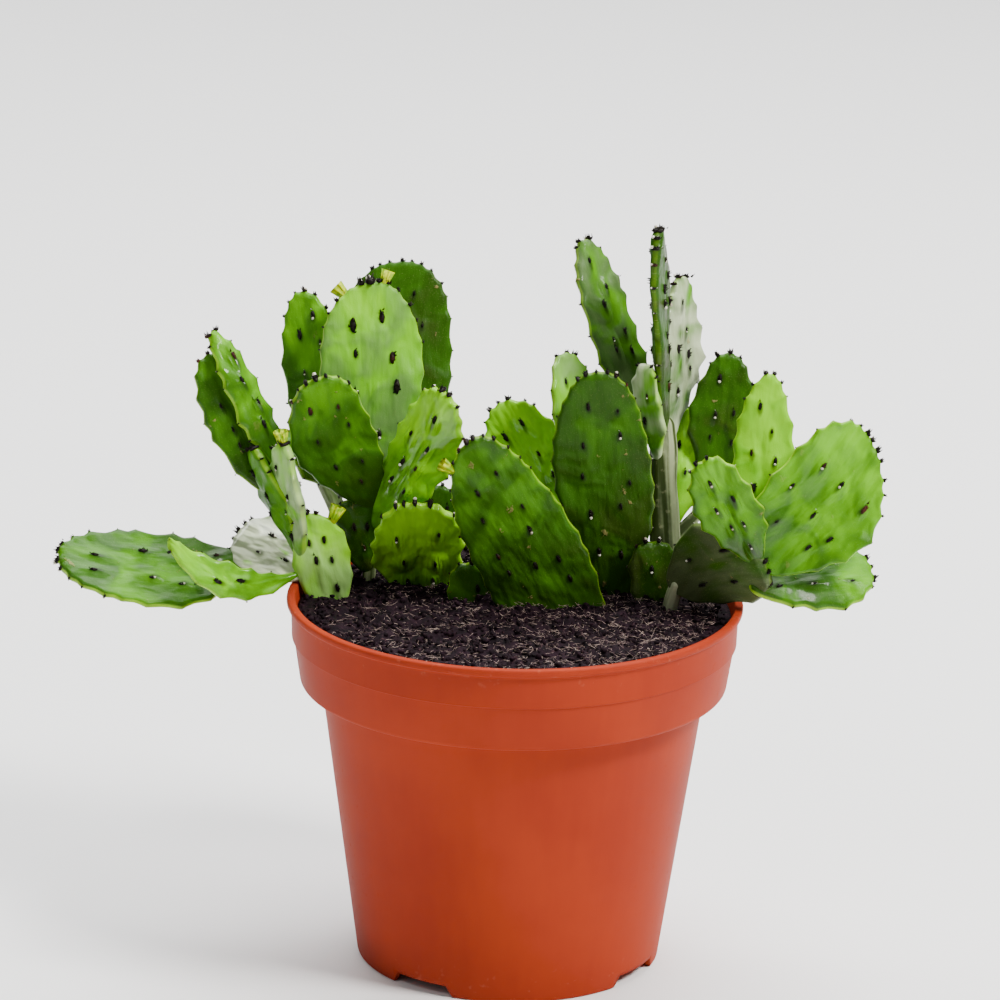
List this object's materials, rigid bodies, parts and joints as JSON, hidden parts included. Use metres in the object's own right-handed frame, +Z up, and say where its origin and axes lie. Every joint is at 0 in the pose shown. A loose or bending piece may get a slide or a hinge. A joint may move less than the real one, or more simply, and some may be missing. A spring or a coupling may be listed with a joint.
{
  "type": "potted paddle cactus",
  "caption": "Rooted prickly pear cuttings with upright and trailing flat pads, crowded in a tapered nursery pot of dark peat with a rolled lip and stepped collar.",
  "frame": {"origin": "under the middle of the whole object's bounding box, on the surface the pot stands on", "axes": "+Z up, -Y towards the front that the picture shows, +X to the right of that view; the pot's own axis is upright and 15.3 mm to the +X side of the origin"},
  "size_m": [0.2734, 0.15, 0.2446],
  "materials": {
    "pot_plastic": "terracotta-coloured moulded plastic with a soft sheen",
    "peat": "dark moist peat, matte, with fine pale fibres",
    "cactus_skin": "smooth waxy green skin with a soft gloss and small dark areoles"
  },
  "bodies": {
    "root": {"pot": "pot_plastic", "soil": "peat", "left_plant": "cactus_skin", "front_left_plant": "cactus_skin", "round_plant": "cactus_skin", "small_pad": "cactus_skin", "leaning_pad": "cactus_skin", "middle_plant": "cactus_skin", "right_plant": "cactus_skin"}
  },
  "joints": []
}
